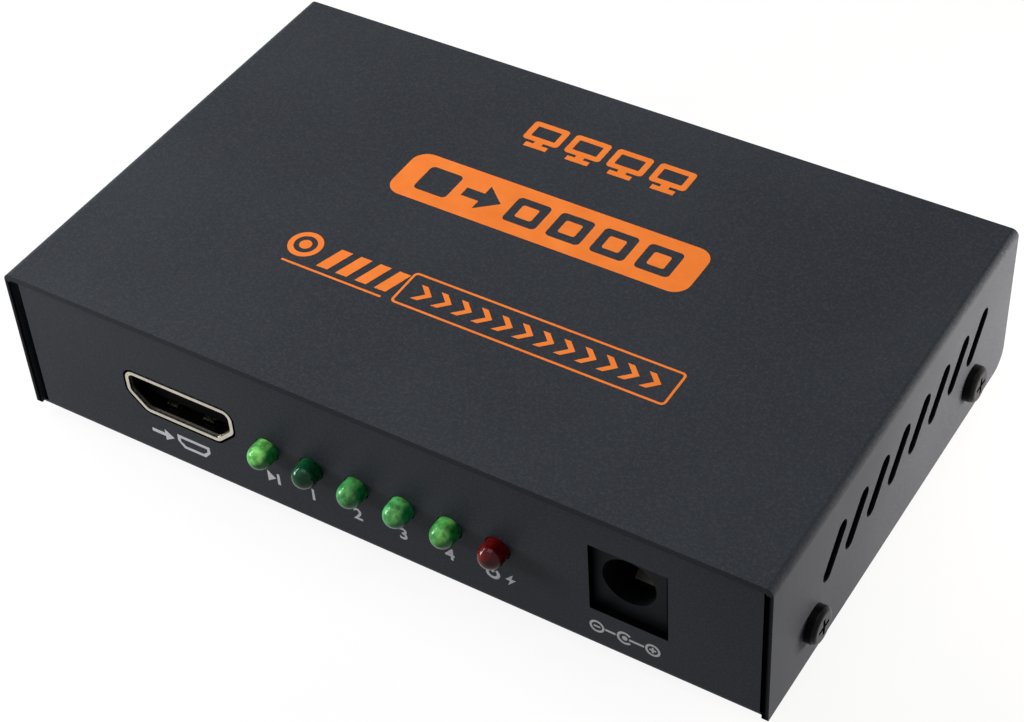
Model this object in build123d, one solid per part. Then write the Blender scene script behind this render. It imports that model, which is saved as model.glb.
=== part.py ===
from build123d import *
import os

os.makedirs("parts", exist_ok=True)

# A video splitter in a folded steel box: one input, four outputs. Millimetres.
# X runs across the front, Y from the front to the back, Z up. The origin is in
# the middle of the box, on the surface that its feet stand on. The pieces are
# drawn with the underside of the steel box at height zero, and are raised by
# the height of the feet when they are written.

# Box
case_width = 96.4
case_depth = 60.0
case_height = 20.4
sheet = 0.8
cover_bend = 0.9
cover_lift = 0.4
tray_bend = 1.0
wall_play = 0.2
panel_recess = 0.2
panel_side_gap = 0.65
panel_shift = 0.35
panel_top_gap = 0.2
rear_corner = 2.5
overrun = 2.0
backward = (0, 1, 0)

# Vents in the side walls
vent_count = 8
vent_pitch = 5.14
vent_width = 2.2
vent_length = 6.95
vent_lean = 38.0
vent_rise = 12.35
vent_shift = 2.1

# Screws that hold the cover, and the tabs that they bite into
cover_screw_inset = 10.0
cover_screw_shift = 0.45
cover_screw_rise = 5.9
cover_screw_radius = 1.2
cover_screw_length = 3.2
cover_head_radius = 2.2
cover_head_height = 1.3
cover_hole_play = 0.25
thread_play = 0.05
recess_width = 0.5
recess_span = 2.3
recess_depth = 0.7
head_round_share = 0.4
tab_width = 8.0
tab_margin = 3.0
collar_wall = 0.8
collar_length = 1.2

# Feet
foot_radius = 4.0
foot_height = 1.1
foot_edge = 0.4
foot_inset = 13.0

# Board and what carries it
board_thickness = 1.6
board_side_gap = 0.6
board_end_gap = 1.0
standoff_height = 3.35
standoff_radius = 2.5
standoff_shank = 2.0
standoff_side_inset = 2.9
standoff_end_inset = 4.0
board_screw_radius = 1.2
board_screw_length = 4.5
board_head_radius = 2.3
board_head_height = 1.4
fit_play = 0.03
hole_play = 0.15
solder_reach = 0.6

# Video socket, the same for the input and the outputs
opening_width = 14.0
opening_height = 4.55
opening_side = 2.5
opening_floor = 9.8
opening_corner = 0.8
shell_sheet = 0.45
shell_length = 11.0
socket_rise = 3.9
window_gap = 0.3
shell_leg_width = 1.4
shell_leg_front = 4.2
shell_leg_rear = 9.2
finger_front = 1.2
finger_root = 6.0
finger_width = 1.4
finger_sheet = 0.25
finger_dip = 0.5
finger_slit = 0.3
upper_finger_place = 3.6
lower_finger_place = 2.55
tongue_width = 10.9
tongue_thickness = 2.0
tongue_setback = 1.4
plug_depth = 3.2
heel_depth = 1.6
heel_side_room = 0.4
sole_length = 5.0
upper_contact_count = 10
lower_contact_count = 9
contact_pitch = 1.0
contact_width = 0.3
contact_sheet = 0.15
contact_proud = 0.05
contact_setback = 0.5
contact_tail = 1.1
input_inset = 22.9
output_count = 4
output_proud = 1.8
output_side_room = 0.45

# Power inlet
jack_inset = 16.6
jack_width = 9.0
jack_height = 9.9
jack_length = 14.0
jack_front_gap = 0.2
jack_bore_radius = 3.15
jack_bore_depth = 9.6
jack_bore_rise = 5.4
jack_rear_wall = 1.4
jack_cheek = 1.2
jack_cheek_height = 6.5
jack_edge = 0.3
jack_window_width = 9.2
jack_window_height = 9.7
jack_window_sill = 0.2
jack_window_shift = 0.4
pin_radius = 1.0
pin_shank_radius = 0.8
pin_setback = 3.1
pin_nose = 0.4
strap_sheet = 0.4
strap_width = 2.6
strap_head = 1.8
spring_sheet = 0.3
spring_width = 2.6
spring_heel = 8.55
spring_crest = 4.6
spring_toe = 3.4
spring_base = 0.6
spring_bulge = 0.45
spring_drop = 0.7
spring_side_play = 0.3
blade_width = 1.0
blade_overlap = 1.3
blade_gap = 0.05

# Indicator lamps
lamp_count = 6
lens_radius = 1.5
lens_length = 5.3
lens_flange_radius = 1.9
lens_flange = 1.0
lens_flat = 1.7
lens_proud = 2.7
lens_play = 0.1
lamp_rise = 3.3
lamp_row_shares = (0.1, 0.761)
lead_width = 0.5
lead_spacing = 2.54
lead_setback = 3.0
post_spacing = 1.1
post_reach = 2.0
anvil_size = 0.9
anvil_depth = 0.7
die_size = 0.3
die_height = 0.2

# Splitter chip, its legs, pad and heat sink
chip_size = 14.0
chip_height = 1.4
chip_clearance = 0.1
chip_leg_count = 32
chip_leg_pitch = 0.4
chip_leg_width = 0.2
leg_sheet = 0.15
leg_reach = 1.0
leg_knee = 0.4
pad_size = 12.0
pad_thickness = 0.5
sink_base = 1.4
sink_height = 6.4
sink_fins = 7
sink_fin = 1.0

# Smaller chips
controller_length = 9.9
controller_leg_count = 8
memory_length = 4.9
memory_leg_count = 4
small_chip_width = 3.9
small_chip_height = 1.5
small_leg_pitch = 1.27
small_leg_width = 0.42

# Regulators
regulator_count = 2
regulator_length = 6.5
regulator_width = 3.5
regulator_height = 1.6
regulator_leg_pitch = 2.3
regulator_leg_width = 0.7
regulator_tab_width = 3.0
regulator_reach = 1.75
regulator_gap = 2.5

# Crystal
crystal_length = 11.0
crystal_width = 4.6
crystal_height = 3.5
crystal_rim = 0.4
crystal_lead_span = 4.9
crystal_lead_radius = 0.22

# Electrolytic capacitors
can_count = 2
can_radius = 3.15
can_height = 7.7
can_edge = 0.5
can_base_size = 6.6
can_base_height = 1.0
can_base_chamfer = 1.2
can_lead_width = 0.7
can_lead_sheet = 0.2
can_lead_reach = 0.8

# Inductor, diode and fuse
inductor_size = 6.0
inductor_height = 3.0
inductor_corner = 0.8
inductor_terminal_width = 2.0
inductor_terminal_sheet = 0.3
inductor_terminal_reach = 0.7
diode_length = 4.3
diode_width = 2.6
diode_height = 2.2
diode_lead_width = 1.4
diode_lead_reach = 0.5
fuse_length = 4.5
fuse_width = 3.2
fuse_height = 0.8

# Chip resistors, chip capacitors and surge arrays
small_length = 1.6
small_width = 0.8
small_height = 0.5
small_pitch = 2.2
resistors_per_output = 4
capacitors_per_side = 6
array_length = 2.5
array_width = 1.0
array_height = 0.5
array_pitch = 4.4
arrays_per_socket = 2
part_gap = 2.5
row_gap = 0.8
board_margin = 1.5
column_gap_count = 3

# Places that follow from the sizes above
back_face = case_depth / 2 - panel_recess
front_face = -back_face
tab_face = case_width / 2 - sheet - wall_play
panel_half = case_width / 2 - sheet - panel_side_gap
panel_height = case_height - sheet - panel_top_gap
cover_screw_reach = case_depth / 2 - cover_screw_inset
cover_screw_rows = {end: end * cover_screw_reach - cover_screw_shift for end in (-1, 1)}
board_half = case_width / 2 - cover_screw_length - board_side_gap
board_half_depth = back_face - sheet - board_end_gap
board_bottom = sheet + standoff_height
board_top = board_bottom + board_thickness
standoff_x = board_half - standoff_side_inset
standoff_y = board_half_depth - standoff_end_inset
solder_depth = board_thickness + solder_reach

shell_half = opening_width / 2 + shell_sheet
socket_heel = shell_length + fit_play + heel_depth
socket_tail = socket_heel + contact_tail
input_x = input_inset - case_width / 2
output_half_row = standoff_x - board_head_radius - output_side_room - shell_half
output_pitch = 2 * output_half_row / (output_count - 1)
output_mouth = back_face + output_proud
tail_row = output_mouth - socket_tail

jack_x = case_width / 2 - jack_inset
jack_face = front_face + sheet + jack_front_gap
lamp_room = (input_x + shell_half, jack_x - jack_width / 2)
lamp_ends = [lamp_room[0] + share * (lamp_room[1] - lamp_room[0]) for share in lamp_row_shares]
lamp_pitch = (lamp_ends[1] - lamp_ends[0]) / (lamp_count - 1)
lamp_flange = front_face - lens_proud + lens_length
lead_row = lamp_flange + lead_setback

chip_half = chip_size / 2 + leg_reach
small_chip_half = small_chip_width / 2 + leg_reach
inductor_half = inductor_size / 2 + inductor_terminal_reach
regulator_half = regulator_width / 2 + regulator_reach
regulator_step = regulator_length + regulator_gap
can_x = board_half - board_margin - can_base_size / 2
column_room = can_x - can_base_size / 2 - chip_half - 2 * inductor_half - 2 * regulator_half
column_gap = column_room / column_gap_count
memory_x = chip_half + column_gap + inductor_half
regulator_x = memory_x + inductor_half + column_gap + regulator_half
controller_x = -chip_half - column_gap - small_chip_half
crystal_x = controller_x - small_chip_half - column_gap - crystal_width / 2
inductor_y = -memory_length / 2 - part_gap - inductor_size / 2
jack_back = jack_face + jack_length
can_step = can_base_size + 2 * can_lead_reach + row_gap
can_y = jack_back + row_gap + can_base_size / 2 + can_lead_reach
diode_x = jack_x - jack_width / 2 - row_gap - diode_lead_reach - diode_length / 2
diode_y = jack_back - diode_width / 2
fuse_y = diode_y - diode_width / 2 - row_gap - fuse_width / 2


def block(x, y, z):
    """Box between two limits along each axis."""
    middle = (sum(x) / 2, sum(y) / 2, sum(z) / 2)
    return Pos(*middle) * Box(x[1] - x[0], y[1] - y[0], z[1] - z[0])


def across(middle, width):
    """Limits of a width that is centred on a middle."""
    return (middle - width / 2, middle + width / 2)


def rod(radius, base, height):
    """Upright cylinder that starts at a point."""
    x, y, z = base
    return Pos(x, y, z + height / 2) * Cylinder(radius, height)


def rod_along_x(radius, start, length, sign=1):
    """Cylinder that runs along X from a point, to the right or to the left."""
    x, y, z = start
    return Pos(x + sign * length / 2, y, z) * Rot(0, 90, 0) * Cylinder(radius, length)


def rod_along_y(radius, start, length):
    """Cylinder that runs backwards along Y from a point."""
    x, y, z = start
    return Pos(x, y + length / 2, z) * Rot(90, 0, 0) * Cylinder(radius, length)


def bent_strip(points, thickness, width):
    """Sheet strip that follows points in the Y and Z directions, centred on X."""
    side = Plane.YZ * trace(Polyline(*points), line_width=thickness)
    return extrude(side, amount=width / 2, both=True)


def group(solids):
    """Separate solids in one node."""
    return Compound(list(solids))


def joined(solids):
    """Solids that touch, as one."""
    first, *rest = solids
    for solid in rest:
        first = first + solid
    return first


def save(name, shape):
    """Write one sub-part, standing on its feet."""
    export_step(Pos(0, 0, foot_height) * shape, f"parts/{name}.step")


def four_corners(x, y):
    """The same place in each quarter of the box."""
    return [(side * x, end * y) for side in (-1, 1) for end in (-1, 1)]


def folded_channel(span, rise, run, bend):
    """Sheet folded to a U: open below, the span along X and the run along Y."""
    outer = Pos(0, rise / 2) * Rectangle(span, rise)
    outer = fillet(outer.vertices().group_by(Axis.Y)[-1], bend)
    hollow = Pos(0, (rise - sheet) / 2) * Rectangle(span - 2 * sheet, rise - sheet)
    hollow = fillet(hollow.vertices().group_by(Axis.Y)[-1], bend - sheet)
    return extrude(Plane.XZ * (outer - hollow), amount=run / 2, both=True)


# Case


def vent_row():
    """Cutting tools of the slanted vents, long enough for both side walls."""
    slot = Rot(0, 0, 90 - vent_lean) * SlotOverall(vent_length, vent_width)
    first = vent_shift - vent_pitch * (vent_count - 1) / 2
    slots = [Pos(first + vent_pitch * n, vent_rise) * slot for n in range(vent_count)]
    reach = case_width / 2 + overrun
    return [extrude(Plane.YZ * one, amount=reach, both=True) for one in slots]


def top_cover():
    """Top and both side walls from one sheet, over the tray."""
    cover = folded_channel(case_width, case_height - cover_lift, case_depth, cover_bend)
    cover = Pos(0, 0, cover_lift) * cover
    foot_edges = cover.edges().filter_by(Axis.X).group_by(Axis.Z)[0]
    cover = fillet(foot_edges.group_by(Axis.Y)[-1], rear_corner)
    hole_radius = cover_screw_radius + cover_hole_play
    through = case_width + 2 * overrun
    for end in (-1, 1):
        start = (-through / 2, cover_screw_rows[end], cover_screw_rise)
        cover -= rod_along_x(hole_radius, start, through)
    for vent in vent_row():
        cover -= vent
    return cover


def screw_tab(side, end):
    """Upright tab on the tray with a drawn collar for one cover screw."""
    y = cover_screw_rows[end]
    wall = sorted((side * (tab_face - sheet), side * tab_face))
    tab = block(wall, across(y, tab_width), (0, cover_screw_rise + tab_margin))
    start = (side * tab_face, y, cover_screw_rise)
    collar_radius = cover_screw_radius + thread_play + collar_wall
    tab += rod_along_x(collar_radius, start, sheet + collar_length, -side)
    return tab


def screw_tab_hole(side, end):
    """Tool for the threaded hole of one tab."""
    start = (side * (tab_face + overrun), cover_screw_rows[end], cover_screw_rise)
    length = sheet + collar_length + 2 * overrun
    return rod_along_x(cover_screw_radius + thread_play, start, length, -side)


def socket_outline(grow):
    """Socket opening about its own middle, grown evenly all round."""
    top = opening_height / 2
    points = [
        (-opening_width / 2, top),
        (opening_width / 2, top),
        (opening_width / 2, top - opening_side),
        (opening_floor / 2, -top),
        (-opening_floor / 2, -top),
        (-opening_width / 2, top - opening_side),
    ]
    outline = Polygon(*points, align=None)
    outline = fillet(outline.vertices(), opening_corner)
    return offset(outline, grow) if grow else outline


def panel_cut(outline, x, z, face):
    """Tool that cuts an outline through the front or back panel."""
    profile = Plane((x, face, z), x_dir=(1, 0, 0), z_dir=(0, -1, 0)) * outline
    return extrude(profile, amount=sheet + overrun, both=True)


def front_cuts():
    """Tools for the windows and lamp holes of the front panel."""
    window = socket_outline(shell_sheet + window_gap)
    cuts = [panel_cut(window, input_x, board_top + socket_rise, front_face)]
    sill = board_top + jack_window_sill
    middle = sill + jack_window_height / 2
    jack_window = Rectangle(jack_window_width, jack_window_height)
    cuts.append(panel_cut(jack_window, jack_x + jack_window_shift, middle, front_face))
    for x in lamp_places():
        hole = Circle(lens_radius + lens_play)
        cuts.append(panel_cut(hole, x, board_top + lamp_rise, front_face))
    return cuts


def back_cuts():
    """Tools for the output windows of the back panel."""
    window = socket_outline(shell_sheet + window_gap)
    height = board_top + socket_rise
    return [panel_cut(window, x, height, back_face) for x in output_places()]


def bottom_tray():
    """Base with the front and back panels and the cover's screw tabs."""
    tray = folded_channel(2 * back_face, panel_height, 2 * tab_face, tray_bend)
    tray = Pos(0, 0, panel_height) * Rot(0, 0, 90) * Rot(180, 0, 0) * tray
    for side, end in four_corners(1, 1):
        strip = sorted((panel_shift + side * panel_half, side * (tab_face + overrun)))
        face = end * back_face
        panel = sorted((face + end * overrun, face - end * tray_bend))
        tray -= block(strip, panel, (tray_bend, panel_height + overrun))
    for side, end in four_corners(1, 1):
        tray += screw_tab(side, end)
    for side, end in four_corners(1, 1):
        tray -= screw_tab_hole(side, end)
    for x, y in four_corners(standoff_x, standoff_y):
        tray -= rod(standoff_shank + fit_play, (x, y, -overrun), sheet + 2 * overrun)
    for cut in front_cuts() + back_cuts():
        tray -= cut
    return tray


def pan_screw(shaft_radius, length, head_radius, head_height):
    """Cross-recess screw: head on top, shaft down from height zero."""
    head = rod(head_radius, (0, 0, 0), head_height)
    head = fillet(head.edges().group_by(Axis.Z)[-1], head_height * head_round_share)
    screw = head + rod(shaft_radius, (0, 0, -length), length + head_height / 2)
    floor = head_height - recess_depth
    for turn in (0, 90):
        arm = block(
            across(0, recess_span),
            across(0, recess_width),
            (floor, head_height + overrun),
        )
        screw -= Rot(0, 0, turn) * arm
    return screw


def cover_screws():
    """Two screws in each side wall."""
    screw = pan_screw(
        cover_screw_radius, cover_screw_length, cover_head_radius, cover_head_height
    )
    screws = []
    for side, end in four_corners(1, 1):
        place = Pos(side * case_width / 2, cover_screw_rows[end], cover_screw_rise)
        screws.append(place * Rot(0, 90 * side, 0) * screw)
    return group(screws)


def rubber_feet():
    """Round pads stuck under the tray."""
    foot = rod(foot_radius, (0, 0, -foot_height), foot_height)
    foot = fillet(foot.edges().group_by(Axis.Z)[0], foot_edge)
    reach = (case_width / 2 - foot_inset, case_depth / 2 - foot_inset)
    return group(Pos(x, y, 0) * foot for x, y in four_corners(*reach))


# Board


def board_standoffs():
    """Threaded standoffs, pressed into the tray."""
    post = rod(standoff_radius, (0, 0, sheet), standoff_height)
    post += rod(standoff_shank, (0, 0, 0), sheet)
    bore = board_screw_radius + thread_play
    post -= rod(bore, (0, 0, -overrun), board_bottom + 2 * overrun)
    places = four_corners(standoff_x, standoff_y)
    return group(Pos(x, y, 0) * post for x, y in places)


def board_screws():
    """Screws that hold the board on its standoffs."""
    screw = pan_screw(
        board_screw_radius, board_screw_length, board_head_radius, board_head_height
    )
    places = four_corners(standoff_x, standoff_y)
    return group(Pos(x, y, board_top) * screw for x, y in places)


def output_places():
    """X of each output socket, from left to right seen from the front."""
    return [n * output_pitch - output_half_row for n in range(output_count)]


def lamp_places():
    """X of each lamp, from left to right."""
    return [lamp_ends[0] + n * lamp_pitch for n in range(lamp_count)]


def socket_spots():
    """Where each socket's mouth is, and how it is turned, input first."""
    spots = [Pos(input_x, front_face, board_top)]
    turned = [Pos(x, output_mouth, board_top) * Rot(0, 0, 180) for x in output_places()]
    return spots + turned


def jack_spot():
    """Where the face of the power inlet is."""
    return Pos(jack_x, jack_face, board_top)


def main_board():
    """Circuit board with all its holes and slots."""
    width = across(0, 2 * board_half)
    depth = across(0, 2 * board_half_depth)
    board = block(width, depth, (board_bottom, board_top))
    holes = []
    hole_depth = board_thickness + 2 * overrun
    bottom = board_bottom - overrun
    for x, y in four_corners(standoff_x, standoff_y):
        holes.append(rod(board_screw_radius + hole_play, (x, y, bottom), hole_depth))
    for spot in socket_spots():
        holes.extend(spot * leg for leg in shell_legs(hole_play))
    holes.extend(jack_spot() * terminal for terminal in jack_terminals(hole_play))
    for x in lamp_places():
        for lead_x in across(x, lead_spacing):
            place = (lead_x, lead_row, bottom)
            holes.append(rod(lead_width / 2 + 2 * hole_play, place, hole_depth))
    for y in across(0, crystal_lead_span):
        place = (crystal_x, y, bottom)
        holes.append(rod(crystal_lead_radius + hole_play, place, hole_depth))
    for hole in holes:
        board -= hole
    return board


# Video sockets, drawn with the mouth at zero, facing the front, on the board


def shell_legs(grow):
    """Upright tabs of the shell that pass through the board."""
    legs = []
    z = (-solder_depth - (overrun if grow else 0), socket_rise)
    for side in (-1, 1):
        x = sorted((side * opening_width / 2, side * shell_half))
        x = (x[0] - grow, x[1] + grow)
        for y in (shell_leg_front, shell_leg_rear):
            legs.append(block(x, across(y, shell_leg_width + 2 * grow), z))
    return legs


def shell_finger(x, side):
    """Spring finger in the top or the bottom of the shell, and its window."""
    wall = side * opening_height / 2
    outer = wall + side * shell_sheet
    tip = wall - side * finger_dip
    anchor = finger_root + finger_slit
    points = [
        (anchor, wall),
        (anchor, outer),
        (finger_root, outer),
        (finger_front + finger_slit, tip + side * finger_sheet),
        (finger_front + finger_slit, tip),
    ]
    side_view = Plane.YZ * Polygon(*points, align=None)
    finger = extrude(side_view, amount=finger_width / 2, both=True)
    window = block(
        across(0, finger_width + 2 * finger_slit),
        (finger_front, finger_root),
        sorted((wall - side * finger_slit, outer + side * overrun)),
    )
    return Pos(x, 0, socket_rise) * finger, Pos(x, 0, socket_rise) * window


def socket_shell():
    """Folded steel shell with spring fingers and board tabs."""
    profile = socket_outline(shell_sheet) - socket_outline(0)
    shell = extrude(Plane.XZ * profile, amount=shell_length, dir=backward)
    shell = Pos(0, 0, socket_rise) * shell
    rows = ((upper_finger_place, 1), (lower_finger_place, -1))
    fingers = [shell_finger(end * x, side) for x, side in rows for end in (-1, 1)]
    for _, window in fingers:
        shell -= window
    for finger, _ in fingers:
        shell += finger
    for leg in shell_legs(0):
        shell += leg
    return shell


def socket_contacts():
    """Contact strips: along the tongue, down behind the heel, out to a tail."""
    strips = []
    for side, count in ((1, upper_contact_count), (-1, lower_contact_count)):
        inner = socket_rise + side * (tongue_thickness / 2 + contact_proud - contact_sheet)
        face = socket_rise + side * (tongue_thickness / 2 + contact_proud)
        front = tongue_setback + contact_setback
        back = socket_heel + contact_sheet
        for n in range(count):
            x = across((n - (count - 1) / 2) * contact_pitch, contact_width)
            arm = block(x, (front, back), sorted((inner, face)))
            drop = block(x, (socket_heel, back), (0, max(inner, face)))
            tail = block(x, (socket_heel, socket_tail), (0, contact_sheet))
            strips.append(arm + drop + tail)
    return strips


def socket_body(strips):
    """Plastic tongue, the plug that closes the shell, and the heel under it."""
    top = socket_rise + opening_height / 2
    plug_length = plug_depth + heel_depth
    plug = extrude(Plane.XZ * socket_outline(-fit_play), amount=plug_length, dir=backward)
    body = Pos(0, socket_heel - plug_length, socket_rise) * plug
    tongue_z = across(socket_rise, tongue_thickness)
    body += block(across(0, tongue_width), (tongue_setback, socket_heel), tongue_z)
    heel_half = opening_width / 2 - heel_side_room
    body += block(across(0, 2 * heel_half), (socket_heel - heel_depth, socket_heel), (0, top))
    sole_top = socket_rise - opening_height / 2 - shell_sheet - fit_play
    sole = (socket_heel - heel_depth - sole_length, socket_heel)
    body += block(across(0, 2 * heel_half), sole, (0, sole_top))
    for strip in strips:
        body -= strip
    return body


# Power inlet, drawn with its face at zero, facing the front, on the board


def jack_rear():
    """Y of the rear face of the wall that closes the bore."""
    return jack_bore_depth + jack_rear_wall


def jack_housing():
    """Moulded housing with the bore, and slots for its springs."""
    width = across(0, jack_width)
    housing = block(width, (0, jack_rear()), (0, jack_height))
    front_edges = housing.edges().group_by(Axis.Y)[0]
    housing = fillet(front_edges.filter_by(Axis.Z), jack_edge)
    for side in (-1, 1):
        outer = side * jack_width / 2
        cheek = sorted((outer - side * jack_cheek, outer))
        housing += block(cheek, (jack_rear(), jack_length), (0, jack_cheek_height))
    bore = (0, -overrun, jack_bore_rise)
    housing -= rod_along_y(jack_bore_radius, bore, jack_bore_depth + overrun)
    through = (0, 0, jack_bore_rise)
    housing -= rod_along_y(pin_shank_radius + fit_play, through, jack_length)
    slot_end = spring_heel + spring_sheet / 2
    slot_width = spring_width + 2 * spring_side_play
    slot = (across(0, slot_width), (spring_toe - blade_width, slot_end))
    housing -= block(*slot, (-overrun, jack_bore_rise))
    for part in blade_blocks():
        housing -= part
    return housing


def jack_strap(grow):
    """Terminal of the centre pin, behind the rear wall."""
    y = (jack_rear() - grow, jack_rear() + strap_sheet + grow)
    z = (-solder_depth - (overrun if grow else 0), jack_bore_rise + strap_head)
    return block(across(0, strap_width + 2 * grow), y, z)


def jack_pin():
    """Centre pin on the floor of the bore, its shank riveted to its terminal."""
    start = (0, pin_setback, jack_bore_rise)
    pin = rod_along_y(pin_radius, start, jack_bore_depth - pin_setback)
    pin = fillet(pin.edges().group_by(Axis.Y)[0], pin_nose)
    shank = rod_along_y(pin_shank_radius, (0, jack_bore_depth, jack_bore_rise), jack_rear_wall)
    return pin + shank + jack_strap(0)


def jack_spring():
    """Leaf that presses on the plug's sleeve, with its terminal below."""
    bore_floor = jack_bore_rise - jack_bore_radius
    crest = bore_floor + spring_bulge
    points = [
        (spring_heel, -solder_depth),
        (spring_heel, spring_base),
        (spring_crest, crest),
        (spring_toe, crest - spring_drop),
    ]
    return bent_strip(points, spring_sheet, spring_width)


def blade_top():
    """Height of the switch blade, just under the toe of the leaf."""
    bore_floor = jack_bore_rise - jack_bore_radius
    toe = bore_floor + spring_bulge - spring_drop
    return toe - spring_sheet / 2 - blade_gap


def blade_blocks(grow=0.0, reach=0.0):
    """The two legs of the switch blade: under the leaf, and down outside."""
    side = jack_width / 2
    y = across(spring_toe, blade_width + 2 * grow)
    z = (blade_top() - spring_sheet, blade_top())
    arm = block((-blade_overlap, side + spring_sheet), y, z)
    down = (-solder_depth - reach, blade_top())
    leg = block((side - grow, side + spring_sheet + grow), y, down)
    return [arm, leg]


def jack_blade():
    """Blade that the leaf rests on while no plug is in."""
    return joined(blade_blocks())


def jack_terminals(grow):
    """Tools for the slots of the three terminals in the board."""
    y = across(spring_heel, spring_sheet + 2 * grow)
    z = (-solder_depth - overrun, overrun)
    heel = block(across(0, spring_width + 2 * grow), y, z)
    return [jack_strap(grow), heel, blade_blocks(grow, overrun)[1]]


# Lamps, drawn with the front of the flange at zero and the dome to the front


def lamp_leads():
    """Two leads of one lamp, stepped out in the flange, bent down to the board."""
    leads = []
    step = across(lens_flange / 2, lead_width)
    for side in (-1, 1):
        inner = side * post_spacing / 2
        outer = side * lead_spacing / 2
        thick = across(0, lead_width)
        post = block(across(inner, lead_width), (-post_reach, step[1]), thick)
        width = (min(inner, outer) - lead_width / 2, max(inner, outer) + lead_width / 2)
        bridge = block(width, step, thick)
        back = (step[0], lead_setback + lead_width / 2)
        arm = block(across(outer, lead_width), back, thick)
        down = (-lamp_rise - solder_depth, lead_width / 2)
        drop = block(across(outer, lead_width), across(lead_setback, lead_width), down)
        leads.append(post + bridge + arm + drop)
    anvil_y = (-post_reach - anvil_depth, -post_reach)
    anvil_x = (-post_spacing / 2 - anvil_size / 2, -post_spacing / 2 + anvil_size / 2)
    leads[0] += block(anvil_x, anvil_y, across(0, anvil_size))
    return leads


def lamp_die():
    """Light-emitting die on the anvil of the first lead."""
    back = -post_reach - anvil_depth
    x = across(-post_spacing / 2, die_size)
    return block(x, (back - die_height, back), across(0, die_size))


def lamp_lens():
    """Moulded lens: dome, barrel and flange with one flat."""
    dome = -lens_length + lens_radius
    lens = rod_along_y(lens_radius, (0, dome, 0), -dome)
    lens += Pos(0, dome, 0) * Sphere(lens_radius)
    lens += rod_along_y(lens_flange_radius, (0, 0, 0), lens_flange)
    flat = (-lens_flange_radius - overrun, -lens_flat)
    tall = across(0, 2 * (lens_flange_radius + overrun))
    lens -= block(flat, (-overrun, lens_flange + overrun), tall)
    for solid in lamp_leads() + [lamp_die()]:
        lens -= solid
    return lens


def lamp_spots():
    """Where the flange of each lamp is."""
    return [Pos(x, lamp_flange, board_top + lamp_rise) for x in lamp_places()]


# Chips on the board, drawn about their own middle with the board at zero


def gull_leg(edge, width, shoulder):
    """Leg that leaves the chip's right edge, steps down and stands on the board."""
    knee = edge + leg_knee
    y = across(0, width)
    top = block((edge, knee), y, across(shoulder, leg_sheet))
    drop_x = (knee - leg_sheet, knee)
    drop = block(drop_x, y, (0, shoulder + leg_sheet / 2))
    foot = block((knee - leg_sheet, edge + leg_reach), y, (0, leg_sheet))
    return top + drop + foot


def leg_rows(edge, count, pitch, width, height, turns):
    """Rows of legs on the sides that the turns name."""
    leg = gull_leg(edge, width, chip_clearance + height / 2)
    row = [(n - (count - 1) / 2) * pitch for n in range(count)]
    return [Rot(0, 0, turn) * Pos(0, y, 0) * leg for turn in turns for y in row]


def chip_body(width, length, height):
    """Moulded chip package, just clear of the board."""
    z = (chip_clearance, chip_clearance + height)
    return block(across(0, width), across(0, length), z)


def heat_sink():
    """Finned block on the pad of the splitter chip."""
    bottom = chip_clearance + chip_height + pad_thickness
    base_top = bottom + sink_base
    width = across(0, chip_size)
    sink = block(width, width, (bottom, base_top))
    step = (chip_size - sink_fin) / (sink_fins - 1)
    for n in range(sink_fins):
        x = across(n * step - (chip_size - sink_fin) / 2, sink_fin)
        sink += block(x, width, (base_top, bottom + sink_height))
    return sink


def thermal_pad():
    """Soft pad between the chip and its heat sink."""
    bottom = chip_clearance + chip_height
    width = across(0, pad_size)
    return block(width, width, (bottom, bottom + pad_thickness))


def regulator_leg_set():
    """Three legs to the left of a regulator and its wide tab to the right."""
    edge = regulator_width / 2
    z = (0, leg_sheet * 2)
    right = block((edge, edge + regulator_reach), across(0, regulator_tab_width), z)
    legs = [right]
    for n in (-1, 0, 1):
        y = across(n * regulator_leg_pitch, regulator_leg_width)
        legs.append(block((-edge - regulator_reach, -edge), y, z))
    return legs


def regulator_spots():
    """Where the regulators stand, one behind the other."""
    middle = (regulator_count - 1) / 2
    places = [(n - middle) * regulator_step for n in range(regulator_count)]
    return [Pos(regulator_x, y, board_top) for y in places]


def crystal_can():
    """Long oval can with a rim at its foot."""
    rim = SlotOverall(crystal_length, crystal_width)
    can = extrude(offset(rim, -crystal_rim), crystal_height) + extrude(rim, crystal_rim)
    return Rot(0, 0, 90) * can


def crystal_leads():
    """Two leads from the foot of the can, through the board."""
    ends = across(0, crystal_lead_span)
    start = -solder_depth
    return [rod(crystal_lead_radius, (0, y, start), solder_depth) for y in ends]


def capacitor_base():
    """Square plastic base with two cut corners."""
    base = block(
        across(0, can_base_size), across(0, can_base_size), (can_lead_sheet, can_base_height)
    )
    corners = base.edges().filter_by(Axis.Z).group_by(Axis.Y)[-1]
    return chamfer(corners, can_base_chamfer)


def capacitor_can():
    """Aluminium can on the base."""
    can = rod(can_radius, (0, 0, can_base_height), can_height - can_base_height)
    return fillet(can.edges().group_by(Axis.Z)[-1], can_edge)


def capacitor_leads():
    """Flat leads under the base, front and back."""
    x = across(0, can_lead_width)
    far = can_base_size / 2 + can_lead_reach
    near = can_lead_width
    z = (0, can_lead_sheet)
    return [block(x, (-far, -near), z), block(x, (near, far), z)]


def can_spots():
    """The capacitors at the right edge of the board, behind the power inlet."""
    return [Pos(can_x, can_y + n * can_step, board_top) for n in range(can_count)]


def power_inductor():
    """Square ferrite body with rounded corners."""
    size = across(0, inductor_size)
    body = block(size, size, (0, inductor_height))
    return fillet(body.edges().filter_by(Axis.Z), inductor_corner)


def inductor_terminals():
    """Terminal plates at the left and right of the inductor."""
    z = (0, inductor_terminal_sheet)
    y = across(0, inductor_terminal_width)
    edge = inductor_size / 2
    far = edge + inductor_terminal_reach
    return [block((-far, -edge), y, z), block((edge, far), y, z)]


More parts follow.
